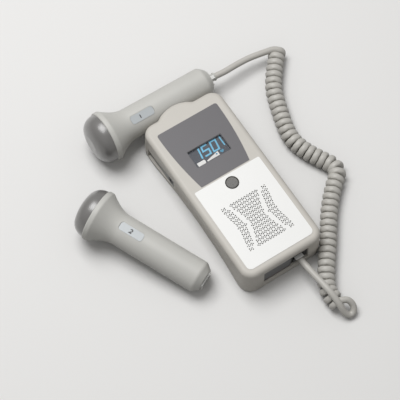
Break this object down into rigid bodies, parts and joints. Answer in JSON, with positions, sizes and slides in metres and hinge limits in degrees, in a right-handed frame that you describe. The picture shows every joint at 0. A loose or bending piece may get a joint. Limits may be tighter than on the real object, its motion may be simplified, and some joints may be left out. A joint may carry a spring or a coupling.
{
  "type": "fetal doppler monitor",
  "caption": "Hand-held heart-rate monitor: display unit with perforated speaker plate, a plug-in hand probe on a curly cord, and a spare probe lying beside it.",
  "frame": {"origin": "centre of the display unit's flat back face, which is also the table plane", "axes": "+Z out of the display unit's front face, +Y along the unit towards its display end, +X to the right seen from the front"},
  "size_m": [0.2626, 0.2826, 0.0488],
  "materials": {
    "light_shell": "fine pebbled warm light grey",
    "probe_face": "glossy dark grey",
    "ceramic": "fired ceramic",
    "black_plastic": "matt black",
    "board": "green solder mask",
    "tag": "pale satin",
    "white_plate": "smooth white",
    "overlay": "dark grey satin film",
    "clear": "clear",
    "display": "dark blue panel",
    "button": "grey, rough top",
    "slate": "dark slate grey",
    "side_panel": "mid grey",
    "metal": "zinc plated",
    "ferrite": "dark ferrite",
    "cone": "black paper",
    "cell": "printed sleeve, plain",
    "contact": "nickel plated",
    "cord_grey": "satin grey jacket"
  },
  "bodies": {
    "unit": {"front_shell": "light_shell", "rear_shell": "light_shell", "front_plate": "white_plate", "display_overlay": "overlay", "window_lens": "clear", "main_circuit_board": "board", "display_module": "display", "display_glass": "display", "power_switch": "black_plastic", "volume_potentiometer": "metal", "side_panel": "side_panel", "headphone_jack": "black_plastic", "end_panel": "slate", "probe_jack": "black_plastic", "unit_plug": "cord_grey", "unit_plug_latch": "white_plate", "speaker_basket": "metal", "speaker_magnet": "ferrite", "speaker_cone": "cone", "battery_1": "cell", "battery_2": "cell", "battery_3": "cell", "battery_4": "cell", "cell_plates": "contact", "cell_springs": "contact", "case_screws": "metal", "cord_probe_lead": "cord_grey", "cord_coil": "cord_grey", "cord_unit_lead": "cord_grey"},
    "power_button": {"power_button": "button"},
    "volume_wheel": {"volume_wheel": "slate"},
    "battery_door": {"battery_door": "light_shell"},
    "docked_probe": {"docked_handle": "light_shell", "docked_face": "probe_face", "docked_crystals": "ceramic", "docked_crystal_backing": "black_plastic", "docked_circuit_board": "board", "docked_tail_frame": "light_shell", "docked_socket": "black_plastic", "docked_tag": "tag", "probe_plug": "cord_grey", "probe_plug_latch": "cord_grey"},
    "spare_probe": {"spare_handle": "light_shell", "spare_face": "probe_face", "spare_crystals": "ceramic", "spare_crystal_backing": "black_plastic", "spare_circuit_board": "board", "spare_tail_frame": "light_shell", "spare_socket": "black_plastic", "spare_tag": "tag"}
  },
  "joints": [
    {"name": "power_button_press", "type": "slide", "parent": "unit", "child": "power_button", "axis": [0, 0, -1], "range_m": [0, 0.0009], "stiffness_N_per_m": 400},
    {"name": "volume_wheel_turn", "type": "hinge", "parent": "unit", "child": "volume_wheel", "pos_m": [-0.0329, 0.0688, 0.0133], "axis": [0, 0, 1], "range_deg": [-135, 135]},
    {"name": "battery_door_slide", "type": "slide", "parent": "unit", "child": "battery_door", "axis": [0, -1, 0], "range_m": [0, 0.01]},
    {"name": "docked_probe_pull", "type": "slide", "parent": "unit", "child": "docked_probe", "axis": [0, 1, 0], "range_m": [0, 0.05]},
    {"name": "spare_probe_lift", "type": "slide", "parent": "unit", "child": "spare_probe", "axis": [0, 0, 1], "range_m": [0, 0.06]}
  ]
}
